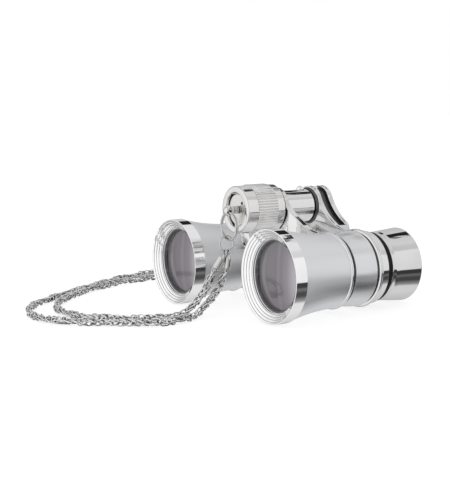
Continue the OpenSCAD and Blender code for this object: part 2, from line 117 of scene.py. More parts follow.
class Graph:
    """A node tree under construction."""

    def __init__(self, tree):
        self.tree = tree

    def node(self, kind, **settings):
        made = self.tree.nodes.new(kind)
        for key, value in settings.items():
            setattr(made, key, value)
        return made

    def link(self, source, target):
        self.tree.links.new(source, target)

    def feed(self, source, target):
        """Links an output to the input, or sets the input to a number."""
        if isinstance(source, (int, float)):
            target.default_value = source
        else:
            self.link(source, target)

    def math(self, operation, *sources):
        made = self.node("ShaderNodeMath", operation=operation)
        for source, target in zip(sources, made.inputs):
            self.feed(source, target)
        return made.outputs[0]

    def blend(self, factor, first, second, kind="MIX"):
        """Blends two colours. Each is a tuple or an output."""
        made = self.node("ShaderNodeMix", data_type="RGBA", blend_type=kind)
        self.feed(factor, made.inputs["Factor"])
        for color, target in ((first, made.inputs["A"]), (second, made.inputs["B"])):
            if isinstance(color, tuple):
                target.default_value = (*color, 1)
            else:
                self.link(color, target)
        return made.outputs["Result"]

    def spread(self, source, low, high, from_low=0.3, from_high=0.7):
        """Maps a range of the source, the middle of a noise if not told, to low ... high."""
        made = self.node("ShaderNodeMapRange")
        made.inputs["From Min"].default_value = from_low
        made.inputs["From Max"].default_value = from_high
        made.inputs["To Min"].default_value = low
        made.inputs["To Max"].default_value = high
        self.link(source, made.inputs["Value"])
        return made.outputs["Result"]

    def split(self, vector):
        made = self.node("ShaderNodeSeparateXYZ")
        self.link(vector, made.inputs[0])
        return made.outputs

    def ramp(self, source, stops, blue=1.0):
        """A grey ramp over (position, grey) stops, with its blue scaled."""
        made = self.node("ShaderNodeValToRGB")
        elements = made.color_ramp.elements
        elements.remove(elements[-1])
        for number, (place, grey) in enumerate(stops):
            stop = elements[0] if number == 0 else elements.new(place)
            stop.position = place
            stop.color = (grey, grey, min(1.0, grey * blue), 1)
        self.link(source, made.inputs[0])
        return made.outputs[0]

    def bands_round_y(self, vector, bands, blue):
        """Grey by the vector's angle round the Y axis, from (degrees above +X, grey) bands."""
        parts = self.split(vector)
        angle = self.math("ARCTAN2", parts["Z"], parts["X"])
        turn = self.spread(angle, 0, 1, -math.pi, math.pi)
        return self.ramp(turn, [((degrees + 180) / 360, grey) for degrees, grey in bands], blue)


class Shader(Graph):
    """A node material under construction."""

    def __init__(self, name):
        self.material = bpy.data.materials.new(name)
        self.material.use_nodes = True
        super().__init__(self.material.node_tree)
        self.skin = self.tree.nodes["Principled BSDF"]
        self.place = self.node("ShaderNodeTexCoord").outputs["Object"]

    def noise(self, size_mm, detail=3.0, stretch=(1, 1, 1)):
        """Noise whose features are about size_mm across, finer along the axes that stretch raises."""
        mapping = self.node("ShaderNodeMapping")
        mapping.inputs["Scale"].default_value = stretch
        self.link(self.place, mapping.inputs["Vector"])
        made = self.node("ShaderNodeTexNoise")
        made.inputs["Scale"].default_value = 1 / (size_mm * MM)
        made.inputs["Detail"].default_value = detail
        self.link(mapping.outputs["Vector"], made.inputs["Vector"])
        return made.outputs["Fac"]

    def bump(self, height, strength, depth_mm, after=None):
        made = self.node("ShaderNodeBump")
        made.inputs["Strength"].default_value = strength
        made.inputs["Distance"].default_value = depth_mm * MM
        self.link(height, made.inputs["Height"])
        if after is not None:
            self.link(after, made.inputs["Normal"])
        return made.outputs["Normal"]

    def set(self, **inputs):
        for key, value in inputs.items():
            self.skin.inputs[key].default_value = value

    def coat(self, color, roughness, normal):
        for name, source in (("Base Color", color), ("Roughness", roughness), ("Normal", normal)):
            self.link(source, self.skin.inputs[name])

    def mix(self, factor, first, second):
        """Mixes two shaders."""
        made = self.node("ShaderNodeMixShader")
        for source, target in zip((factor, first, second), made.inputs):
            self.feed(source, target)
        return made.outputs[0]

    def show(self, shader):
        self.link(shader, self.tree.nodes["Material Output"].inputs["Surface"])


# Scales a tint down: for tone that varies at random, and for painted shade in crevices.
def dimmed_tint(tint, share):
    return tuple(c * share for c in tint)


def chrome(name, tint, rough=0.05, haze=0.05, ripple=0.02, shade=False):
    """Polished plate: faint haze, fine wipe marks and a barely uneven surface. Shade paints
    the crevices darker in the base colour, as painted shade, for small tangled parts."""
    s = Shader(name)
    s.set(Metallic=1.0)
    cloud = s.noise(9.0, detail=4.0)
    color = s.blend(s.spread(cloud, 0, 1), dimmed_tint(tint, 0.93), tint)
    wipes = s.noise(0.5, detail=5.0, stretch=(1, 0.12, 1))
    total = s.math("ADD", s.spread(cloud, rough, rough + haze),
                   s.spread(wipes, 0, haze * 0.6, 0.45, 0.75))
    normal = s.bump(s.noise(4.0, detail=2.0), 0.25, ripple)
    normal = s.bump(wipes, 0.1, 0.004, after=normal)
    if shade:
        # Painted shade: ambient occlusion darkens the base colour in the crevices.
        crevice = s.node("ShaderNodeAmbientOcclusion")
        crevice.samples = 6
        crevice.inputs["Distance"].default_value = 1.6 * MM
        depth = s.spread(crevice.outputs["AO"], 0, 1, 0.25, 0.85)
        color = s.blend(depth, dimmed_tint(tint, 0.16), color)
    s.coat(color, total, normal)
    return s.material


# Brightness of the satin surfaces' painted sheen round the optical axis, as (angle of the surface
# in degrees above +X, grey). It falls off underneath into painted shade, where the tabletop is in the shade.
PAINTED_SHEEN_BANDS = [(-62, 0.62), (-48, 0.56), (-38, 0.26), (-30, 0.02), (-21, 0.12), (-10, 0.50),
               (2, 0.60), (40, 0.66), (80, 0.58)]


def satin(name, tint, rough, share):
    """Fine blasted and anodised aluminium: sparkling grain, slight turning marks, and a soft painted
    sheen and shade, set by the way the surface faces, that has the given share of the surface's light."""
    s = Shader(name)
    s.set(Metallic=1.0)
    grain = s.noise(0.16, detail=3.0)
    cloud = s.noise(7.0, detail=3.0)
    turning = s.noise(0.35, detail=2.0, stretch=(0.03, 1, 0.03))
    normal = s.bump(turning, 0.12, 0.006, after=s.bump(grain, 0.22, 0.012))
    s.coat(s.blend(s.spread(grain, 0, 1), dimmed_tint(tint, 0.9), tint),
           s.spread(cloud, rough - 0.04, rough + 0.04), normal)
    # Painted sheen and shade: a diffuse colour set by which way the surface faces round the optical axis.
    facing = s.node("ShaderNodeNewGeometry").outputs["Normal"]
    sheen = s.node("ShaderNodeBsdfDiffuse")
    s.link(s.bands_round_y(facing, PAINTED_SHEEN_BANDS, blue=1.03), sheen.inputs["Color"])
    s.link(normal, sheen.inputs["Normal"])
    s.show(s.mix(share, s.skin.outputs[0], sheen.outputs[0]))
    return s.material


def steel(name, tint, rough):
    """Turned steel with fine rings round the axis."""
    s = Shader(name)
    s.set(Metallic=1.0)
    rings = s.noise(0.3, detail=4.0, stretch=(0.02, 1, 0.02))
    s.coat(s.blend(s.spread(rings, 0, 1), dimmed_tint(tint, 0.75), tint),
           s.spread(s.noise(2.0), rough, rough + 0.15), s.bump(rings, 0.3, 0.01))
    return s.material


def lacquer(name, tint, rough, gloss=0.5):
    """Satin lacquer with a fine orange-peel surface and rubbed spots."""
    s = Shader(name)
    s.skin.inputs["Specular IOR Level"].default_value = gloss
    rub = s.noise(1.5, detail=5.0)
    rubbed = tuple(c * 2.2 + 0.01 for c in tint)
    s.coat(s.blend(s.spread(rub, 0, 1, 0.5, 0.8), tint, rubbed), s.spread(rub, rough, rough + 0.2),
           s.bump(s.noise(0.25, detail=2.0), 0.25, 0.01))
    return s.material


def coated_glass(name, tint, haze, bands):
    """A lens seen from outside: a tinted reflection over a hazy depth and some see-through. The
    bands give its brightness across the lens as a painted reflection, as (place from -1 to 1 along +X, grey)."""
    s = Shader(name)
    s.set(Roughness=0.04, Metallic=0.0, IOR=1.52)
    place_x = s.split(s.place)["X"]
    across = s.math("MULTIPLY_ADD", s.math("SIGN", place_x), -OPTIC_X * MM, place_x)
    share = s.spread(across, 0, 1, -GLASS_R * MM, GLASS_R * MM)
    cloud = s.noise(6.0, detail=2.0, stretch=(1, 1, 0.25))
    # Painted reflection: the bands darken and lighten the lens's colour across it.
    painted_banding = s.ramp(share, [((place + 1) / 2, grey) for place, grey in bands])
    hazy = s.blend(s.spread(cloud, 0, 1), dimmed_tint(tint, 0.9), tint)
    tint_with_painted_reflection = s.blend(1, hazy, painted_banding, "MULTIPLY")
    s.link(tint_with_painted_reflection, s.skin.inputs["Base Color"])
    s.link(s.bump(s.noise(8.0, detail=1.0), 0.05, 0.01), s.skin.inputs["Normal"])
    mirror = s.node("ShaderNodeBsdfGlossy")
    s.link(tint_with_painted_reflection, mirror.inputs["Color"])
    s.link(s.spread(cloud, 0.12, 0.2), mirror.inputs["Roughness"])
    clear = s.node("ShaderNodeBsdfTransparent")
    clear.inputs["Color"].default_value = (0.8, 0.78, 0.8, 1)
    edge = s.node("ShaderNodeLayerWeight")
    edge.inputs["Blend"].default_value = 0.35
    depth = s.mix(haze, clear.outputs[0], s.skin.outputs[0])
    s.show(s.mix(s.spread(edge.outputs["Facing"], 0.12, 0.75, 0.0, 1.0), depth, mirror.outputs[0]))
    return s.material


# Brightness across an objective lens, as (place, grey): a painted reflection of the room in its coating.
LENS_PAINTED_REFLECTION_BANDS = [(-0.98, 0.24), (-0.86, 0.60), (-0.7, 0.46), (-0.45, 0.40), (0.0, 0.39),
              (0.12, 0.50), (0.24, 0.42), (0.5, 0.50), (0.7, 0.74), (0.88, 1.0)]
BRIGHT = chrome("bright_chrome", (1.0, 1.0, 1.0), rough=0.02, haze=0.03)
SOFT = chrome("soft_chrome", (0.82, 0.81, 0.80), rough=0.08, haze=0.06)
CAP = chrome("cap_chrome", (0.84, 0.83, 0.82), rough=0.03, haze=0.03, ripple=0.01)
BODY = chrome("bridge_chrome", (0.84, 0.84, 0.84), rough=0.04, haze=0.04, ripple=0.01)
CUP = chrome("eyecup_chrome", (0.79, 0.79, 0.79), rough=0.03, haze=0.03, ripple=0.003)
PLUG = chrome("plug_chrome", (0.84, 0.83, 0.82), rough=0.22, haze=0.08)
WIRE = chrome("ring_wire", (0.70, 0.70, 0.68), rough=0.07, haze=0.10, shade=True)
LINKS = chrome("chain_steel", (0.86, 0.86, 0.85), rough=0.08, haze=0.10, shade=True)
SATIN = satin("satin_cone", (0.84, 0.85, 0.86), 0.37, 0.45)
COLLAR = satin("satin_collar", (0.82, 0.83, 0.83), 0.24, 0.4)
STEEL = steel("turned_steel", (0.55, 0.55, 0.56), 0.22)
# Painted shade: dark steel for the rear arm's grooves, pocket floor and flare.
PAINTED_SHADE_STEEL = steel("painted_shade_steel", (0.12, 0.12, 0.12), 0.22)
# Black lacquer for the black parts, and painted shade in the front arm's grooves.
BLACK = lacquer("black_lacquer", (0.006, 0.006, 0.0065), 0.35, gloss=0.12)
GREY = lacquer("grey_anodised", (0.11, 0.11, 0.115), 0.3)
LENS = coated_glass("coated_lens", (0.62, 0.58, 0.63), 0.8, LENS_PAINTED_REFLECTION_BANDS)
EYE_GLASS = coated_glass("eye_lens_glass", (0.50, 0.51, 0.53), 0.35, [(-1, 0.7), (1, 0.7)])


# ---- Mesh tools ----

def add_mesh(name, points, faces, unit=MM):
    """Puts a mesh into the scene. Its points are given in the stated unit, in metres."""
    mesh = bpy.data.meshes.new(name)
    mesh.from_pydata([[c * unit for c in p] for p in points], [], faces)
    made = bpy.data.objects.new(name, mesh)
    bpy.context.scene.collection.objects.link(made)
    return made


def weld(mesh, distance):
    """Joins points that coincide, and turns the faces outwards."""
    work = bmesh.new()
    work.from_mesh(mesh)
    bmesh.ops.remove_doubles(work, verts=work.verts, dist=distance)
    bmesh.ops.recalc_face_normals(work, faces=work.faces)
    work.to_mesh(mesh)
    work.free()


class Shape:
    """Points and faces in millimetres, gathered before they become one piece."""

    def __init__(self):
        self.points = []
        self.faces = []
        self.finish = 0
        self.finishes = []

    def add(self, points, faces):
        start = len(self.points)
        self.points += [tuple(p) for p in points]
        self.faces += [tuple(start + i for i in face) for face in faces]
        self.finishes += [self.finish] * len(faces)

    def grid(self, rows, closed=False, caps=False):
        """A skin over equal rings of points. Closed joins the last ring to the first."""
        n = len(rows[0])
        points = [p for row in rows for p in row]
        faces = []
        for k in range(len(rows) if closed else len(rows) - 1):
            a, b = k * n, ((k + 1) % len(rows)) * n
            for j in range(n):
                i = (j + 1) % n
                faces.append((a + j, a + i, b + i, b + j))
        if caps:
            faces.append(tuple(range(n - 1, -1, -1)))
            faces.append(tuple(range(len(points) - n, len(points))))
        self.add(points, faces)

    def turned(self, outline, centre=(0, 0), sides=160, place=None):
        """Revolves a closed (radius, y) outline about the line through centre = (x, z) along Y."""
        place = place or Matrix.Translation((centre[0], 0, centre[1]))
        rows = []
        for k in range(sides):
            a = 2 * math.pi * k / sides
            rows.append([place @ Vector((r * math.cos(a), y, r * math.sin(a))) for r, y in outline])
        self.grid(rows, closed=True)

    def sweep(self, path, radius, sides=12, closed=False):
        """A round wire along a path of points."""
        count = len(path)
        rows = []
        normal = None
        for k in range(count):
            on, back = (k + 1) % count, k - 1
            if not closed:
                on, back = min(count - 1, k + 1), max(0, k - 1)
            t = (path[on] - path[back]).normalized()
            if normal is None:
                normal = t.orthogonal().normalized()
            normal = (normal - t * normal.dot(t)).normalized()
            other = t.cross(normal)
            rows.append([path[k] + (normal * math.cos(a) + other * math.sin(a)) * radius
                         for a in (2 * math.pi * j / sides for j in range(sides))])
        self.grid(rows, closed=closed, caps=not closed)

    def paint(self, rule):
        """Chooses the finish of each face from its middle point."""
        self.finishes = [rule(sum((Vector(self.points[i]) for i in face), Vector()) / len(face))
                         for face in self.faces]

    def stand_for(self, node, *materials, sharp=35):
        """Makes the piece that is shown instead of a CAD node, with one material per finish."""
        made = add_mesh(f"{node}_fine", self.points, self.faces)
        mesh = made.data
        mesh.polygons.foreach_set("material_index", self.finishes)
        for material in materials:
            mesh.materials.append(material)
        weld(mesh, 1e-7)
        mesh.shade_smooth()
        mesh.set_sharp_from_angle(angle=math.radians(sharp))
        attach(made, BODY_OF[node])
        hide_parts(node)


def turned_piece(node, outline, material, centre=(0, 0), sides=160, sharp=35):
    """Makes a piece that is one turned outline."""
    shape = Shape()
    shape.turned(outline, centre, sides)
    shape.stand_for(node, material, sharp=sharp)


def soften(outline, radius=0.15, steps=4):
    """Rounds the corners of a closed outline, and keeps the straight runs between them flat."""
    made = []
    count = len(outline)
    for k in range(count):
        before, here, after = (Vector(outline[i % count]) for i in (k - 1, k, k + 1))
        back, on = before - here, after - here
        if back.length < 1e-6 or on.length < 1e-6:
            continue
        bend = math.pi - back.angle(on)
        if bend < math.radians(12):
            hold = 0.12 if bend > math.radians(0.5) else 0
            if hold and back.length > 1:
                made.append(tuple(here + back.normalized() * hold))
            made.append(tuple(here))
            if hold and on.length > 1:
                made.append(tuple(here + on.normalized() * hold))
            continue
        cut = min(radius, back.length * 0.4, on.length * 0.4)
        hold = cut * 1.15
        first = here + back.normalized() * cut
        last = here + on.normalized() * cut
        made.append(tuple(here + back.normalized() * hold))
        for i in range(steps + 1):
            u = i / steps
            made.append(tuple(first * (1 - u) ** 2 + here * 2 * u * (1 - u) + last * u * u))
        made.append(tuple(here + on.normalized() * hold))
    return made


def arc(cx, cy, r, start, end, steps):
    """Points of an arc, with angles in degrees."""
    angles = [math.radians(start + (end - start) * i / steps) for i in range(steps + 1)]
    return [(cx + r * math.cos(a), cy + r * math.sin(a)) for a in angles]


def dome(r, rise, top, steps):
    """Points of a shallow dome from its edge of radius r to its middle, at the height top."""
    ball_r = (r * r + rise * rise) / (2 * rise)
    edge = math.degrees(math.asin(min(1, r / ball_r)))
    return arc(0, top - ball_r, ball_r, 90 - edge, 89.9, steps)


def smooth(low, high, x):
    """Rises gently from 0 at low to 1 at high."""
    t = min(1.0, max(0.0, (x - low) / (high - low)))
    return t * t * (3 - 2 * t)


def optic(side):
    """The optical axis of one side, as (x, z)."""
    return (SIDES[side] * OPTIC_X, OPTIC_Z)


# ---- Objective half ----

def bezel(side):
    """A polished band with a terraced front, a seat for the glass and a spigot in the cone."""
    aperture_r = 12.9
    seat_r = 12.75
    shoulder_r = 11.8
    spigot_r = CONE_REAR_R + 0.6
    band_len = cone_low.y - RIM_Y - 0.1
    terraces = 4
    pitch = (BEZEL_R - 0.35 - aperture_r) / terraces
    drop = 2.5 / terraces
    face = []
    for k in range(terraces):
        r, y = BEZEL_R - 0.35 - k * pitch, k * drop
        face += [(r, y), (r - pitch * 0.66, y + drop * 0.45), (r - pitch * 0.72, y + drop * 0.95)]
    back = [(aperture_r, 2.5), (aperture_r, 3.2), (seat_r, 3.25), (seat_r, 7.1), (shoulder_r, 7.1),
            (shoulder_r, 8.2), (spigot_r, 8.2), (spigot_r, band_len), (BEZEL_R, band_len),
            (BEZEL_R, 0)]
    outline = [(r, RIM_Y + y) for r, y in face + back]
    turned_piece(f"objective_bezel_{side}", soften(outline, 0.12, 3), BRIGHT, optic(side), 192, 28)


def cone(side):
    """A thin shell that flares towards the objective."""
    front_r = radius_of("cone_left")
    length = cone_high.y - cone_low.y
    wall = 0.9
    steps = 36

    def r(u):
        return CONE_REAR_R + (front_r - CONE_REAR_R) * (1 - u) ** 1.9

    outside = [(r(i / steps), cone_low.y + length * i / steps) for i in range(steps + 1)]
    inside = [(q - wall, y) for q, y in reversed(outside)]
    turned_piece(f"cone_{side}", outside + inside, SATIN, optic(side))


def domed_lens(node, side, clear_share, front_sag, rear_sag, material, thicker=0.0):
    """A lens with a flat edge. A positive sag bulges outwards and a negative one is hollow."""
    low, high = span(node)
    r = (high.x - low.x) / 2
    clear = r * clear_share
    y0 = low.y + max(0, front_sag) - thicker
    y1 = high.y - max(0, rear_sag)
    steps = 14
    front = [(clear * i / steps, y0 - front_sag * (1 - (i / steps) ** 2)) for i in range(steps + 1)]
    rear = [(clear * i / steps, y1 + rear_sag * (1 - (i / steps) ** 2)) for i in range(steps, -1, -1)]
    front[0] = (AXIS, front[0][1])
    rear[-1] = (AXIS, rear[-1][1])
    turned_piece(node, front + [(r, y0), (r, y1)] + rear, material, optic(side), 128)


def plain_ring(node, side, inner_r, material, radius=0.12, shorter=0.0):
    """A turned ring with the CAD node's outer radius and length, or a little shorter behind."""
    low, high = span(node)
    high = high - Vector((0, shorter, 0))
    r = (high.x - low.x) / 2
    centre = optic(side) if side else (0, 0)
    outline = [(inner_r, low.y), (r, low.y), (r, high.y), (inner_r, high.y)]
    turned_piece(node, soften(outline, radius, 3), material, centre, 144)


# ---- Bridges ----

def flank_centre(foot_r):
    """Centre of the hollow flank that touches the hub's round and a barrel of radius foot_r."""
    dx, dz = OPTIC_X, OPTIC_Z - NECK_TOP_Z
    d = math.hypot(dx, dz)
    p, q = NECK_TOP_R + NECK_FLANK_R, foot_r + NECK_FLANK_R
    along = (p * p - q * q + d * d) / (2 * d)
    off = math.sqrt(p * p - along * along)
    return along * dx / d - off * dz / d, NECK_TOP_Z + along * dz / d + off * dx / d


def neck_edge(foot_r, depth=0.0):
    """The neck's upper edge on the +X side as (x, z) points, set in by a depth."""
    cx, cz = flank_centre(foot_r)
    join = math.degrees(math.atan2(cz - NECK_TOP_Z, cx))
    end = 360 + math.degrees(math.atan2(OPTIC_Z - cz, OPTIC_X - cx))
    return (arc(0, NECK_TOP_Z, NECK_TOP_R - depth, 90, join, 22)
            + arc(cx, cz, NECK_FLANK_R + depth, join + 181.5, end, 44))


def height_at(edge, x):
    """Height of an edge of (x, z) points above a place along it."""
    for (x0, z0), (x1, z1) in zip(edge, edge[1:]):
        if x0 <= x <= x1:
            return z0 + (z1 - z0) * (x - x0) / max(1e-9, x1 - x0)
    return edge[-1][1]


def barrel_top(x, r):
    """Height of a barrel's skin of radius r above the point x, or None beside the barrel."""
    off = x - OPTIC_X
    return OPTIC_Z + math.sqrt(r * r - off * off) if abs(off) < r else None


def corner(y, z, r, start):
    """Three-step rounding of a section's corner about its centre (y, z)."""
    return arc(y, z, r, start, start - 90, 3)


def arm(shape, foot_r, y_front_of, y_rear_of, toe_r, toe_len, pocket_end=0.0, pocket_depth=0.0):
    """A swan-neck arm as a loft of sections across X. toe_len is the reach of the hollow fillet
    in front of the arm where it stands on a barrel's skin of radius toe_r. A pocket may run along
    the top as far as pocket_end. Each section goes up the front face, over the top and down."""
    edge = neck_edge(foot_r)
    floor = neck_edge(foot_r, pocket_depth) if pocket_depth else edge
    stations = [p for p in edge if p[0] > 1e-6]
    if pocket_end:
        stations += [(x, height_at(edge, x)) for x in (pocket_end - 0.12, pocket_end + 0.12)]
        stations.sort()
    round_r, lip_r = 0.32, 0.22

    def section(x, z_top):
        ax = abs(x)
        y_front, y_rear = y_front_of(ax), y_rear_of(ax)
        arch = ARCH_Z + math.sqrt(max(0.0, ARCH_R ** 2 - ax * ax)) if ax < ARCH_R else OPTIC_Z
        skin = barrel_top(ax, toe_r)
        bottom = arch if skin is None else max(arch, skin - 0.6)
        reach = toe_len * smooth(13.0, 19.0, ax)
        reach = min(reach, max(0.0, (z_top - bottom) * 0.9))
        points = []
        for i in range(9):
            a = math.radians(90 * i / 8)
            points.append((y_front - reach * (1 - math.sin(a)), bottom + reach * (1 - math.cos(a))))
        z_round = max(bottom + reach, z_top - round_r)
        points += corner(y_front + round_r, z_round, round_r, 180)
        top = z_round + round_r
        rail = POCKET_RAIL * (y_rear - y_front)
        near, far = y_front + rail, y_rear - rail
        if pocket_end and ax < pocket_end:
            z_floor = height_at(floor, ax)
            c = min(lip_r, (z_top - z_floor) * 0.4)
            points += arc(near - c, top - c, c, 90, 0, 2)
            points += [(near + 0.05, z_floor), (far - 0.05, z_floor)]
            points += arc(far + c, top - c, c, 180, 90, 2)
        else:
            points += [(y, top) for y in (near - lip_r, near - lip_r / 2, near, near + 0.05,
                                          far - 0.05, far, far + lip_r / 2, far + lip_r)]
        points += corner(y_rear - round_r, z_round, round_r, 90)
        points += [(y_rear, bottom), ((y_front + y_rear) / 2, bottom)]
        return [(x, y, z) for y, z in points]

    rows = [section(-x, z) for x, z in reversed(stations)]
    rows += [section(x, z) for x, z in [edge[0]] + stations]
    shape.grid(rows, caps=True)


def barrel_bars(r, y0, y1):
    """A cutter on each optical axis."""
    return [(*optic(side), r, y0, y1) for side in SIDES]


def cut_away(shape, cutters):
    """Returns the shape with round bars removed. Each cutter is (centre x, centre z, r, y0, y1)."""
    def as_object(source, name):
        made = add_mesh(name, source.points, source.faces, unit=1)
        weld(made.data, 1e-4)
        return made

    target = as_object(shape, "cut_target")
    helpers = [target]
    for x, z, r, y0, y1 in cutters:
        bar = Shape()
        bar.turned([(AXIS, y0), (r, y0), (r, y1), (AXIS, y1)], (x, z), sides=160)
        helper = as_object(bar, "cut_tool")
        helpers.append(helper)
        step = target.modifiers.new("cut", "BOOLEAN")
        step.operation = "DIFFERENCE"
        step.solver = "EXACT"
        step.object = helper
    bpy.context.view_layer.update()
    done = bpy.data.meshes.new_from_object(
        target.evaluated_get(bpy.context.evaluated_depsgraph_get()))
    made = Shape()
    made.add([tuple(v.co) for v in done.vertices], [tuple(f.vertices) for f in done.polygons])
    for helper in helpers:
        bpy.data.objects.remove(helper)
    bpy.data.meshes.remove(done)
    return made


def front_bridge():
    """The swept front arm, with a sleeve that ends in a bead and a groove in each cone painted black as painted
    shade.
    """
    low, high = span("front_bridge")
    hub_y = drum_high.y + 0.55
    barrel_y = RIM_Y + 27.7
    thick = 2.65
    sleeve_end = RIM_Y + 28.3

    def front_of(ax):
        return hub_y + (barrel_y - hub_y) * smooth(5.0, 14.0, ax)

    arms = Shape()
    arm(arms, CONE_REAR_R, front_of, lambda ax: front_of(ax) + thick, CONE_REAR_R + 0.1, 5.0)
    shape = cut_away(arms, barrel_bars(14.2, sleeve_end, high.y + 2)
                     + barrel_bars(CONE_REAR_R - 1.0, low.y - 9, high.y + 2)
                     + [(0, 0, TUBE_R + 0.02, tube_low.y, high.y + 3)])
    end = cone_high.y
    bead = arc(CONE_REAR_R - 0.2, end + 0.75, 0.65, -75, 75, 10)
    groove_r = 12.35
    sleeve = ([(11.95, low.y), (CONE_REAR_R - 0.95, low.y), (CONE_REAR_R - 0.95, end),
               (CONE_REAR_R - 0.05, end + 0.05)] + bead
              + [(groove_r, end + 1.6), (groove_r, sleeve_end), (11.95, sleeve_end)])
    for side in SIDES:
        shape.turned(soften(sleeve, 0.08, 2), optic(side), sides=160)

    # Finish 1 paints the groove behind each bead black, as painted shade.
    def finish(p):
        off = math.hypot(abs(p.x) - OPTIC_X, p.z - OPTIC_Z)
        return 1 if off < groove_r + 0.35 and p.y > end + 1.2 else 0

    shape.paint(finish)
    shape.stand_for("front_bridge", BODY, BLACK)


def rear_bridge():
    """The rear arm with its pocket, the flare round the tube and the satin collars. Painted
    shade in dark steel lies in the collars' grooves, on the pocket's floor and on the flare.
    """
    y_front = RIM_Y + 41.5
    collar_end = RIM_Y + 43.0
    parting = bridge_low.y
    y_back = bridge_high.y

    def rear_edge(ax):
        return y_back + (collar_end + 0.35 - y_back) * smooth(14.0, 25.0, ax)

    arms = Shape()
    pocket_end, pocket_depth = 17.0, 1.1
    arm(arms, COLLAR_R, lambda ax: y_front, rear_edge, COLLAR_R - 0.3, 5.0, pocket_end, pocket_depth)
    shape = cut_away(arms, barrel_bars(12.6, parting - 1, y_back + 3)
                     + barrel_bars(13.7, collar_end + 0.4, y_back + 3)
                     + [(0, 0, TUBE_BORE_R, parting, y_back - 1.2)])
    hub_y = tube_high.y + 0.6
    flare = [(TUBE_R + 0.9 * (1 - math.cos(math.radians(90 * i / 8))),
              hub_y + (y_front - hub_y) * math.sin(math.radians(90 * i / 8))) for i in range(9)]
    hub = [(TUBE_BORE_R, hub_y)] + flare + [(TUBE_R + 0.9, y_front + 0.3),
                                            (TUBE_BORE_R, y_front + 0.3)]
    shape.turned(hub, sides=160)
    bead_y = RIM_Y + 39.0
    band_len = bead_y - 1.5 - parting
    bulge = COLLAR_R - 12.8
    band = [(12.8 + bulge * math.sin(math.radians(90 * i / 24)), parting + band_len * i / 24)
            for i in range(25)]
    bead = arc(BEAD_R - 0.7, bead_y, 0.7, -70, 80, 10)
    band[-1] = (COLLAR_R - 0.05, bead_y - 1.6)
    collar = ([(12.0, parting)] + band + [(COLLAR_R - 0.45, bead_y - 1.35),
                                          (COLLAR_R - 0.45, bead_y - 0.85)] + bead
              + [(13.75, bead_y + 0.95), (13.25, collar_end), (12.0, collar_end)])
    for side in SIDES:
        shape.turned(soften(collar, 0.12, 3), optic(side), sides=192)
    edge = neck_edge(COLLAR_R)

    # Finish 2 is painted shade: the groove before each bead, the pocket's floor and the flare round the tube.
    def finish(p):
        off = math.hypot(abs(p.x) - OPTIC_X, p.z - OPTIC_Z)
        if off < COLLAR_R + 0.02 and p.y < bead_y - 0.75:
            return 1 if p.y < bead_y - 1.6 else 2
        ax = abs(p.x)
        down = height_at(edge, ax) - p.z
        if ax < pocket_end + 0.05 and y_front + 1.9 < p.y < rear_edge(ax) - 1.9 and 0.3 < down < 3:
            return 2
        if math.hypot(p.x, p.z) < TUBE_R + 0.85 and p.y < y_front - 0.01:
            return 2
        return 0

    shape.paint(finish)
    shape.stand_for("rear_bridge", BODY, COLLAR, PAINTED_SHADE_STEEL)


def center_tube():
    outline = [(TUBE_BORE_R, tube_low.y), (TUBE_R, tube_low.y), (TUBE_R, tube_high.y),
               (TUBE_BORE_R, tube_high.y)]
    turned_piece("center_tube", soften(outline, 0.2), BODY)


def dome_screw(node, head_r, head_h):
    """Domed screw whose axis stands along Z."""
    low, high = span(node)
    y = (low.y + high.y) / 2
    seat = high.z - head_h
    place = Matrix.Translation((0, y, 0)) @ Matrix.Rotation(math.radians(90), 4, "X")
    outline = [(AXIS, low.z), (0.7, low.z), (0.7, seat), (head_r, seat)]
    outline += dome(head_r, head_h, high.z, 12)
    shape = Shape()
    shape.turned(outline, sides=64, place=place)
    shape.stand_for(node, BRIGHT)


# ---- Knob ----

def knob_cap():
    """The smooth rolled ring in front of the drum."""
    r, y0, y1 = cap_high.x, cap_low.y, cap_high.y
    lip = plug_high.x + 0.45
    outline = [(lip, y0 + 0.35), (lip + 0.3, y0 + 0.08), (r - 1.4, y0)]
    outline += arc(r - 0.7, y0 + 0.72, 0.7, -85, 0, 8)
    outline += [(r, y1 - 0.12), (r - 0.12, y1), (SCREW_R + 0.02, y1), (SCREW_R + 0.02, plug_high.y),
                (lip, plug_high.y)]
    turned_piece("knob_cap", soften(outline, 0.1, 3), CAP, sides=192)


def focus_drum():
    """A ring of straight flutes with a smooth flange behind them. The outline's third value says
    how much of a flute's depth is cut there."""
    flutes = 56
    per_flute = 10
    r, y0, y1 = drum_high.x, drum_low.y, drum_high.y
    knurl_end = y0 + 8.5
    flange_r = r - 0.3
    depth = 0.34
    outline = [(SCREW_R + 0.02, y0, 0), (r - 0.55, y0, 0), (r - 0.3, y0 + 0.02, 0.6),
               (r - 0.05, y0 + 0.25, 1), (r, y0 + 0.4, 1)]
    outline += [(r, y0 + 0.4 + (knurl_end - y0 - 0.9) * i / 4, 1) for i in range(1, 5)]
    outline += [(r - 0.02, knurl_end - 0.3, 1), (r - 0.1, knurl_end - 0.12, 0.8),
                (flange_r, knurl_end, 0), (flange_r + 0.02, knurl_end + 0.15, 0),
                (flange_r + 0.02, knurl_end + 0.3, 0), (flange_r + 0.02, y1 - 0.42, 0),
                (flange_r + 0.02, y1 - 0.3, 0), (flange_r - 0.08, y1 - 0.08, 0),
                (flange_r - 0.3, y1, 0), (SCREW_R + 0.02, y1, 0)]
    rows = []
    count = flutes * per_flute
    for k in range(count):
        a = 2 * math.pi * k / count
        phase = (k % per_flute) / per_flute
        groove = depth * max(0.0, math.cos(2 * math.pi * phase)) ** 1.5
        rows.append([((q - groove * cut) * math.cos(a), y, (q - groove * cut) * math.sin(a))
                     for q, y, cut in outline])
    shape = Shape()
    shape.grid(rows, closed=True)
    shape.stand_for("focus_drum", SOFT, sharp=40)


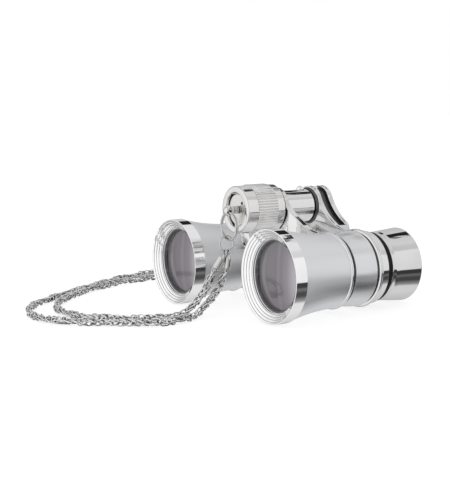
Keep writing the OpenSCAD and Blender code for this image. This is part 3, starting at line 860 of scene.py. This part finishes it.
def knob_plug():
    """The disc in the cap's mouth, with two spanner holes and a recess for the eye's washer."""
    r, y1 = plug_high.x, plug_high.y
    holes = next(m for m in record["mounts"] if m["name"] == "spanner_holes")["dims"]
    hole_ring_r, hole_r = holes["pcd_mm"] / 2, holes["hole_r_mm"]
    body = Shape()
    outline = [(1.2, 0), (1.35, 0), (r - 0.3, 0), (r, 0.3), (r, y1), (2.2, y1), (2.2, y1 - 1.2),
               (1.2, y1 - 1.2)]
    body.turned(outline, sides=144)
    places = [math.radians(d) for d in (SPANNER_DEG, SPANNER_DEG + 180)]
    shape = cut_away(body, [(hole_ring_r * math.cos(a), hole_ring_r * math.sin(a), hole_r, -1, y1 + 1)
                            for a in places])
    shape.stand_for("knob_plug", PLUG)


# ---- Eyepiece half ----

def eyecup(side):
    """A flared cup with a waist next to the gap ring."""
    neck_y = gap_high.y + 0.05
    end_y = eyecup_high.y
    rim_r = radius_of("eyecup_left")
    inner = 11.0
    outline = [(inner, eyecup_low.y), (11.85, eyecup_low.y), (11.85, neck_y), (12.55, neck_y),
               (12.62, neck_y + 0.35), (12.5, neck_y + 1.1), (12.42, neck_y + 1.9),
               (12.62, neck_y + 3.2), (rim_r - 0.03, end_y - 0.75)]
    outline += arc(rim_r - 0.6, end_y - 0.6, 0.6, 0, 90, 6)
    outline += [(11.7, end_y), (11.2, end_y - 0.5), (inner, end_y - 6)]
    turned_piece(f"eyecup_{side}", soften(outline, 0.14, 3), CUP, optic(side), 192, 28)


def ocular_cell(side):
    """The stepped black funnel that holds the eye lens."""
    end = eyecup_high.y
    stop = RIM_Y + 51.8
    outline = [(10.98, RIM_Y + 46), (10.98, end - 6.1), (10.4, end - 1.2), (10.0, end - 1.2),
               (9.4, end - 3.2), (9.2, end - 3.2), (8.8, end - 4.6), (8.6, end - 4.6),
               (8.3, stop + 0.8), (8.3, stop), (9.6, stop), (9.6, RIM_Y + 46)]
    turned_piece(f"ocular_cell_{side}", soften(outline, 0.08, 2), BLACK, optic(side), 128)


def hub_cover():
    """A low dome behind the hub."""
    low, high = span("hub_cover")
    seat = bridge_high.y + 0.02
    plug_r = SCREW_R - 0.02
    outline = [(AXIS, low.y), (plug_r, low.y), (plug_r, seat), (high.x, seat)]
    turned_piece("hub_cover", outline + dome(high.x, high.y - seat, high.y, 16), BODY, sides=96)


# ---- Hand chain ----

def swivel_eye():
    """A ribbed post with a thick eye at its end."""
    eye = ANCHOR["ring_swing"]
    hole_r = 0.9
    hole = Vector((0, eye.y, eye.z - 0.05))
    ball = Vector((0, eye.y + 0.5, -0.15))
    ball_r = 2.0
    shape = Shape()
    rows = []
    for k in range(48):
        a = 2 * math.pi * k / 48
        out = Vector((0, math.cos(a), math.sin(a)))
        away = hole - ball
        b = out.dot(away)
        outer = -b + math.sqrt(b * b - (away.length_squared - ball_r ** 2))
        middle, half = (hole_r + outer) / 2, (outer - hole_r) / 2
        rows.append([hole + out * (middle + half * math.cos(t)) + Vector((math.sin(t) * 1.3, 0, 0))
                     for t in (2 * math.pi * j / 16 for j in range(16))])
    shape.grid(rows, closed=True)
    shape.finish = 1
    tip = eye.y + 1.15
    outline = [(AXIS, tip), (0.9, tip), (1.2, tip + 0.2)]
    ribs = 4
    length = -0.06 - tip - 0.3
    for k in range(ribs):
        y = tip + 0.3 + length * k / ribs
        outline += [(1.1, y), (1.42, y + length / ribs * 0.3), (1.42, y + length / ribs * 0.7)]
    outline += [(1.15, -0.06), (1.15, eye_high.y - 1.0), (2.15, eye_high.y - 1.0),
                (2.15, eye_high.y), (AXIS, eye_high.y)]
    shape.turned(soften(outline, 0.08, 3), sides=64)
    shape.stand_for("swivel_eye", CAP, WIRE)


def split_ring():
    """Nearly two turns of wire side by side, with one step over."""
    low, high = span("split_ring")
    centre = (low + high) / 2
    wire_r = (high.y - low.y) / 4
    ring_r = (high.x - low.x) / 2 - wire_r
    turns = 1.93
    steps = 190
    path = []
    for k in range(steps + 1):
        a = 2 * math.pi * turns * k / steps + math.radians(200)
        side = -1 + 2 * smooth(0.46, 0.56, k / steps)
        path.append(centre + Vector((ring_r * math.cos(a), side * (wire_r + 0.005),
                                     ring_r * math.sin(a))))
    shape = Shape()
    shape.sweep(path, wire_r, sides=12)
    shape.stand_for("split_ring", WIRE)


def jump_ring():
    """One turn of wire with a hairline gap."""
    low, high = span("jump_ring")
    centre = (low + high) / 2
    wire_r = (high.x - low.x) / 2
    ring_r = (high.y - low.y) / 2 - wire_r
    gap = math.radians(2.5)
    path = []
    for k in range(73):
        a = math.radians(300) + gap + (2 * math.pi - 2 * gap) * k / 72
        path.append(centre + Vector((0, ring_r * math.cos(a), ring_r * math.sin(a))))
    shape = Shape()
    shape.sweep(path, wire_r, sides=12)
    shape.stand_for("jump_ring", WIRE)


def chain_cap(letter):
    """An eyelet of wire on a slim tube that holds the end of a strand."""
    node = f"chain_cap_{letter}"
    top_z = span(node)[1].z
    loop_r, wire_r, cap_r = 0.85, 0.27, 1.4
    anchor = ANCHOR[f"cap_{letter}_swing"]
    loop = Vector((anchor.x, anchor.y, top_z - loop_r - wire_r))
    tip = ANCHOR[f"strand_{letter}_lift_1"]
    shape = Shape()
    circle = [loop + Vector((loop_r * math.cos(a), 0, loop_r * math.sin(a)))
              for a in (2 * math.pi * k / 40 for k in range(40))]
    shape.sweep(circle, wire_r, sides=10, closed=True)
    way = tip - loop
    turn = Vector((0, 1, 0)).rotation_difference(way.normalized()).to_matrix().to_4x4()
    place = Matrix.Translation(loop) @ turn
    end = way.length
    outline = [(AXIS, 0.72), (0.42, 0.75), (0.55, 1.1), (0.72, 1.5), (1.12, 2.1), (cap_r, 2.5),
               (cap_r, end - 0.9), (cap_r + 0.06, end - 0.7), (cap_r + 0.06, end - 0.35),
               (cap_r, end - 0.12), (cap_r - 0.15, end), (cap_r - 0.35, end),
               (cap_r - 0.35, end - 0.5), (AXIS, end - 0.5)]
    shape.turned(soften(outline, 0.1, 3), sides=48, place=place)
    shape.stand_for(node, WIRE)


def lying(x, y):
    """A guide point of a strand that lies on the floor."""
    return Vector((x, y, -36.2 + FLOOR_SLOPE * (y + 4.7)))


# Guide points of the two strands, from their end caps down to the floor and round the loop.
STRAND_A = [
    Vector((-2.6, -8.6, -21.3)), Vector((-3.2, -12.5, -28.2)), Vector((-3.8, -16.8, -33.5)),
    lying(-4.4, -21.8), lying(-4.5, -27.3), lying(-9, -34.8), lying(-17.8, -40.6),
    lying(-34, -48.3), lying(-53, -48.3), lying(-68, -41.9), lying(-80, -30.8),
    lying(-88.3, -18.8), lying(-93, -5.8), lying(-94.8, 4.3), lying(-93.8, 14), lying(-93.4, 21.5),
]
STRAND_B = [
    Vector((-2.5, -3.7, -21.5)), Vector((-2, -6.5, -26.5)), Vector((-0.5, -11.3, -31.5)),
    Vector((0.6, -15.5, -34.4)), lying(1.4, -20.5), lying(3, -27.5), lying(1, -35.3),
    lying(-8, -42.3), lying(-25.6, -54.6), lying(-39.6, -59.5), lying(-52, -59.8),
    lying(-64.8, -55.9), lying(-76, -47.3), lying(-85, -32.2), lying(-93.5, -16.3),
    lying(-100.4, -1.7), lying(-104.5, 9.7), lying(-104, 21.2), lying(-99.5, 29.2),
    lying(-95, 28.8), lying(-93.5, 24),
]


def on_curve(guides, u):
    """Point of a smooth curve through the guide points."""
    i = min(int(u), len(guides) - 2)
    t = u - i
    a, b, c = guides[max(0, i - 1)], guides[i], guides[i + 1]
    d = guides[min(len(guides) - 1, i + 2)]
    return 0.5 * (2 * b + (c - a) * t + (2 * a - 5 * b + 4 * c - d) * t * t
                  + (3 * b - a - 3 * c + d) * t * t * t)


# Half length and half width of a link along its wire, the wire's radius and the links' spacing.
LINK_LONG = 1.7
LINK_WIDE = 0.83
LINK_WIRE = 0.24
LINK_PITCH = 2.15
# A strand is three fine chains twisted round its own line.
SUB_CHAINS = 3
TWIST_PITCH = 12.0
TWIST_R = 0.59
# How much slimmer the links are next to a break.
BREAK_SLIM = 0.2


def link(shape, middle, along, across, size):
    """One oval link: two straight sides and two round ends. Size scales its width and its wire."""
    straight = LINK_LONG - LINK_WIDE
    path = []
    for sign, start in ((1, -90), (-1, 90)):
        for k in range(7):
            a = math.radians(start + 180 * k / 6)
            path.append(middle + along * (sign * straight + LINK_WIDE * abs(math.cos(a)) * sign)
                        + across * (LINK_WIDE * size * math.sin(a)))
    shape.sweep(path, LINK_WIRE * size, sides=6, closed=True)


def strand(letter, guides, breaks):
    """Twists three fine chains along the strand, one piece for each CAD length. The breaks are
    the numbers of the guide points where one CAD length ends and the next begins. The links are
    slimmer next to a break, so that the strand bends there without its links meeting."""
    rng = random.Random(f"strand {letter}")
    per_guide = 24
    line = [on_curve(guides, k / per_guide) for k in range((len(guides) - 1) * per_guide + 1)]
    lengths = [0.0]
    for a, b in zip(line, line[1:]):
        lengths.append(lengths[-1] + (b - a).length)
    shapes = [Shape() for _ in breaks[1:]]
    for k in range(SUB_CHAINS):
        s = 1.1 + LINK_PITCH * k / SUB_CHAINS
        number = 0
        while s < lengths[-1] - 1.1:
            i = next(n for n, length in enumerate(lengths) if length >= s)
            along = (line[min(i + 6, len(line) - 1)] - line[max(0, i - 6)]).normalized()
            middle = line[i] - along * (lengths[i] - s)
            flat = along.cross(Vector((0, 0, 1))).normalized()
            upright = flat.cross(along)
            a = 2 * math.pi * (s / TWIST_PITCH + k / SUB_CHAINS)
            out = flat * math.cos(a) + upright * math.sin(a)
            lean = (along + along.cross(out) * (2 * math.pi * TWIST_R / TWIST_PITCH)).normalized()
            roll = math.radians(90 * (number % 2) + 40 + rng.uniform(-25, 25))
            across = Quaternion(lean, roll) @ (out - lean * out.dot(lean)).normalized()
            part = max(n for n, stop in enumerate(breaks[:-1]) if stop * per_guide <= i)
            near = min(abs(s - lengths[stop * per_guide]) for stop in breaks[1:-1])
            size = 1 - BREAK_SLIM * (1 - smooth(1.2, 3.6, near))
            link(shapes[part], middle + out * (TWIST_R * size), lean, across, size)
            s += LINK_PITCH + rng.uniform(-0.08, 0.08)
            number += 1
    for index, shape in enumerate(shapes):
        shape.stand_for(f"strand_{letter}_{index + 1}", LINKS)


# ---- Build ----

for name in SIDES:
    bezel(name)
    cone(name)
    domed_lens(f"objective_lens_{name}", name, 12.3 / 12.73, 1.3, 0.8, LENS, thicker=LENS_FORWARD)
    plain_ring(f"lens_retainer_{name}", name, 12.2, GREY, shorter=LENS_FORWARD)
    plain_ring(f"draw_tube_{name}", name, 11.2, STEEL)
    plain_ring(f"gap_ring_{name}", name, 12.0, BLACK, radius=0.3)
    eyecup(name)
    ocular_cell(name)
    domed_lens(f"eye_lens_{name}", name, 8.2 / 9.58, -0.9, -1.1, EYE_GLASS)
    plain_ring(f"eye_lens_retainer_{name}", name, 8.5, BLACK)
front_bridge()
rear_bridge()
center_tube()
dome_screw("guide_screw", 1.5, 1.4)
dome_screw("clamp_screw", 1.1, 0.9)
plain_ring("knob_washer", None, SCREW_R + 0.05, BLACK)
plain_ring("tube_gap_ring", None, TUBE_BORE_R, BLACK)
knob_cap()
focus_drum()
knob_plug()
hub_cover()
swivel_eye()
split_ring()
jump_ring()
for letter in ("a", "b"):
    chain_cap(letter)
strand("a", STRAND_A, (0, 4, 7, 11, 15))
strand("b", STRAND_B, (0, 4, 8, 12, 16, 20))

# The focusing screw and its sleeve, inside the hub, keep their CAD shapes.
for node in ("lead_screw", "guide_sleeve"):
    node_materials = frame["nodes"][node].data.materials
    node_materials.clear()
    node_materials.append(STEEL)


# ---- Camera ----

CAMERA_AZIMUTH = math.radians(57.04)
CAMERA_ELEVATION = math.radians(5.93)
CAMERA_ROLL = math.radians(-1.2)
CAMERA_DISTANCE = 476.6
CAMERA_AIM = Vector((-41.07, 20.7, -20.1))
CAMERA_LENS = 83.5


def make_camera():
    """Adds the camera at the photograph's angle, and returns its place."""
    back = Vector((math.sin(CAMERA_AZIMUTH) * math.cos(CAMERA_ELEVATION),
                   -math.cos(CAMERA_AZIMUTH) * math.cos(CAMERA_ELEVATION),
                   math.sin(CAMERA_ELEVATION)))
    right = Vector((0, 0, 1)).cross(back).normalized()
    up = back.cross(right)
    right, up = (right * math.cos(CAMERA_ROLL) + up * math.sin(CAMERA_ROLL),
                 up * math.cos(CAMERA_ROLL) - right * math.sin(CAMERA_ROLL))
    data = bpy.data.cameras.new("photo_camera")
    data.lens = CAMERA_LENS
    data.sensor_width = 36
    data.clip_start = 0.01
    data.clip_end = 20
    camera = bpy.data.objects.new("photo_camera", data)
    camera.matrix_world = Matrix((right, up, back)).transposed().to_4x4()
    camera.location = (CAMERA_AIM + back * CAMERA_DISTANCE) * MM
    bpy.context.scene.collection.objects.link(camera)
    bpy.context.scene.camera = camera
    return camera.location / MM


# ---- Studio ----

def make_floor():
    """A pale plane under the glasses that reflections do not see."""
    half = 1500
    y0 = RIM_Y + 4.6
    corners = [(x, y, FLOOR_Z + FLOOR_SLOPE * (y - y0)) for x, y in
               ((-half, -half), (half, -half), (half, half), (-half, half))]
    floor = add_mesh("floor", corners, [(0, 1, 2, 3)])
    s = Shader("pale_floor")
    s.set(Roughness=0.9)
    s.skin.inputs["Emission Color"].default_value = (1, 1, 1, 1)
    s.skin.inputs["Emission Strength"].default_value = 0.8
    s.link(s.blend(s.spread(s.noise(300.0), 0, 1), (0.24, 0.24, 0.24), (0.26, 0.26, 0.26)),
           s.skin.inputs["Base Color"])
    floor.data.materials.append(s.material)
    floor.visible_glossy = False


# Brightness of the studio round the optical axis, as (angle in degrees, grey). The angle is
# measured from +X, the right-hand side as the user looks, up over the top.
STUDIO_BANDS = [
    (-180, 0.44), (-150, 0.50), (-135, 0.62), (-110, 0.70), (-85, 0.78), (-66, 0.76), (-60, 0.34),
    (-53, 0.20), (-46, 0.07), (-38, 0.07), (-29, 0.17), (-24, 0.05), (-14, 0.045), (-12, 0.86),
    (46, 0.90), (50, 0.66), (62, 0.68), (70, 0.78), (118, 0.76), (150, 0.62), (180, 0.60),
]
# Brightness of the studio in front of the objectives, as (how far the ray points forwards, grey).
FRONT_BANDS = [(0.12, 0.34), (0.32, 0.50), (0.45, 0.86), (0.60, 0.92), (0.85, 1.0)]


def make_world():
    """White for the camera and for diffuse light, soft bands for reflections."""
    world = bpy.data.worlds.new("studio")
    bpy.context.scene.world = world
    world.use_nodes = True
    g = Graph(world.node_tree)
    g.tree.nodes.clear()
    ray = g.node("ShaderNodeTexCoord").outputs["Generated"]
    forward = g.math("MULTIPLY", g.split(ray)["Y"], -1)
    bands = g.blend(g.spread(forward, 0, 1, -0.05, 0.25),
                    g.bands_round_y(ray, STUDIO_BANDS, blue=1.01),
                    g.ramp(forward, FRONT_BANDS, blue=1.01))
    glossy = g.node("ShaderNodeLightPath").outputs["Is Glossy Ray"]
    background = g.node("ShaderNodeBackground")
    g.link(g.blend(glossy, (1, 1, 1), bands), background.inputs["Color"])
    g.link(background.outputs[0], g.node("ShaderNodeOutputWorld").inputs["Surface"])


def flag(target, centre, r, y, degrees, across_mm, along_mm, distance=600, flare=0.0):
    """A black studio flag that the camera sees reflected in the target, a surface of radius r that
    widens along Y by the flare. The spot is at y, the given degrees above +X round its centre."""
    a = math.radians(degrees)
    out = Vector((math.cos(a), 0, math.sin(a)))
    spot = Vector((centre[0], y, centre[1])) + out * r
    normal = (out - Vector((0, flare, 0))).normalized()
    view = (spot - eye_point).normalized()
    ray = view - normal * 2 * view.dot(normal)
    middle = spot + ray * distance
    wide = (Vector((0, 1, 0)) - ray * ray.y).normalized()
    tall = ray.cross(wide)
    corners = [middle + wide * along_mm * u / 2 + tall * across_mm * v / 2
               for u, v in ((-1, -1), (1, -1), (1, 1), (-1, 1))]
    made = add_mesh(f"flag_{target}", corners, [(0, 1, 2, 3)])
    made.data.materials.append(FLAG_BLACK)
    for ray_kind in ("camera", "diffuse", "shadow", "transmission"):
        setattr(made, f"visible_{ray_kind}", False)


eye_point = make_camera()
make_floor()
make_world()
FLAG_BLACK = lacquer("flag_cloth", (0.004, 0.004, 0.004), 0.9)
for name, degrees in (("left", 71.5), ("right", 69)):
    flag(f"bezel_{name}", optic(name), BEZEL_R, RIM_Y + 2.4, degrees, 210, 40)
flag("eyecup", optic("left"), 13.0, RIM_Y + 53, 63, 140, 50, flare=0.1)
flag("cap", (0, 0), cap_high.x, 1.4, 55, 400, 24, distance=1500)
flag("flange", (0, 0), drum_high.x - 0.3, drum_high.y - 0.9, 52, 330, 12, distance=1500)
flag("tube", (0, 0), TUBE_R, tube_high.y - 4.8, 50.5, 300, 40, distance=1500)

bpy.context.scene.view_settings.view_transform = "Standard"
